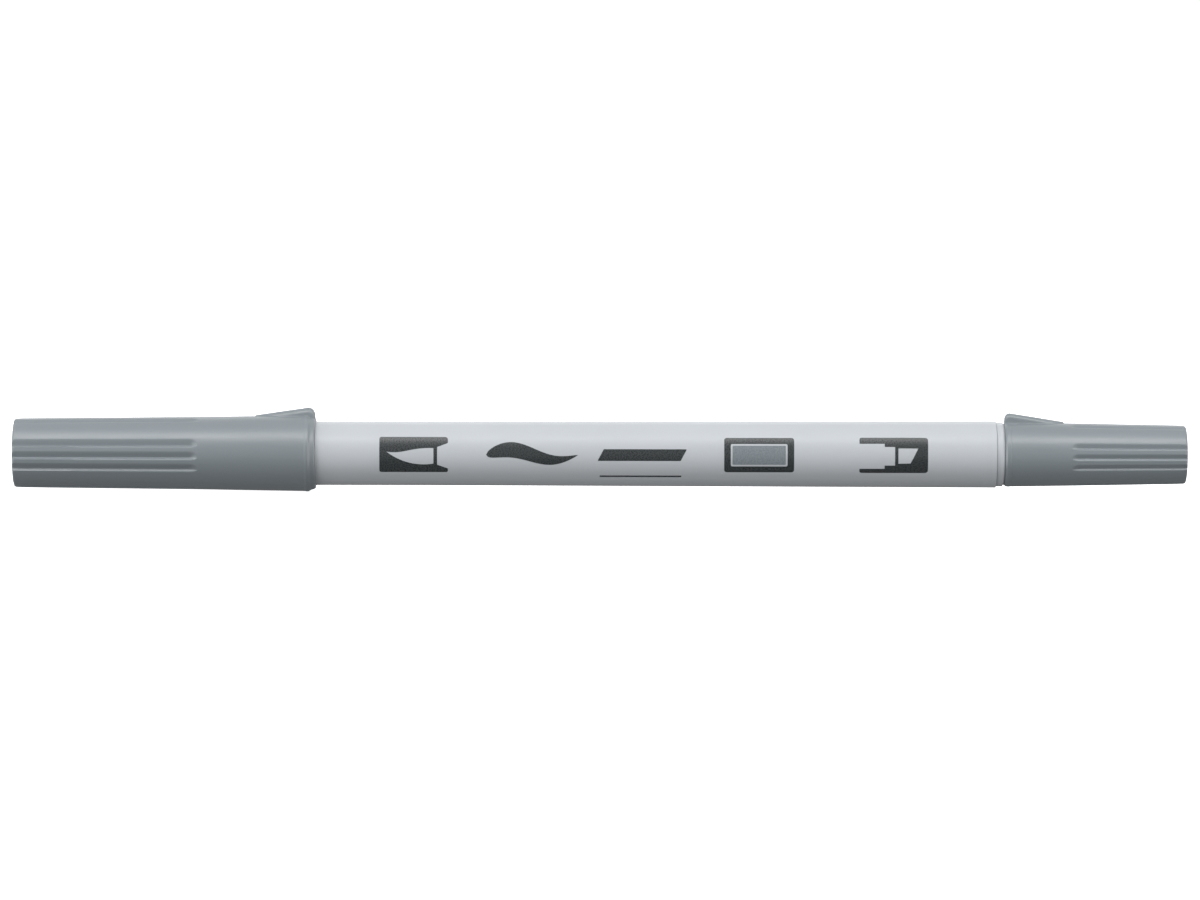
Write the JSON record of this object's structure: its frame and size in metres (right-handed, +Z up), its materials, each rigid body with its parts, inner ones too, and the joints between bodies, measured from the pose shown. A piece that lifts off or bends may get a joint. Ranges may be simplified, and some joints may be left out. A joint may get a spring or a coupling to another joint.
{
  "type": "felt tip marker",
  "caption": "Twin-tip felt marker with a brush nib under its long cap and a chisel nib under its short cap, lying on its side.",
  "frame": {"origin": "bottom centre of the capped marker's box, under its long axis", "axes": "+X along the marker towards the short chisel cap, +Z up through the anti-roll lugs, +Y away from the printed side"},
  "size_m": [0.17, 0.0112, 0.0122],
  "materials": {
    "cap_plastic": "satin moulded, mid cool grey",
    "barrel_plastic": "satin moulded, light cool grey",
    "liner_plastic": "soft natural white",
    "reservoir_fibre": "bundled polyester fibre",
    "reservoir_film": "clear film",
    "nib_felt": "ink-soaked felt"
  },
  "bodies": {
    "pen_body": {"barrel": "barrel_plastic", "chisel_section": "barrel_plastic", "reservoir_core": "reservoir_fibre", "reservoir_film": "reservoir_film", "brush_nib": "nib_felt", "chisel_nib": "nib_felt"},
    "brush_cap_body": {"brush_cap": "cap_plastic", "brush_cap_liner": "liner_plastic"},
    "chisel_cap_body": {"chisel_cap": "cap_plastic", "chisel_cap_liner": "liner_plastic"}
  },
  "joints": [
    {"name": "brush_cap_pull", "type": "slide", "parent": "pen_body", "child": "brush_cap_body", "axis": [-1, 0, 0], "range_m": [0, 0.05]},
    {"name": "chisel_cap_pull", "type": "slide", "parent": "pen_body", "child": "chisel_cap_body", "axis": [1, 0, 0], "range_m": [0, 0.03]}
  ]
}
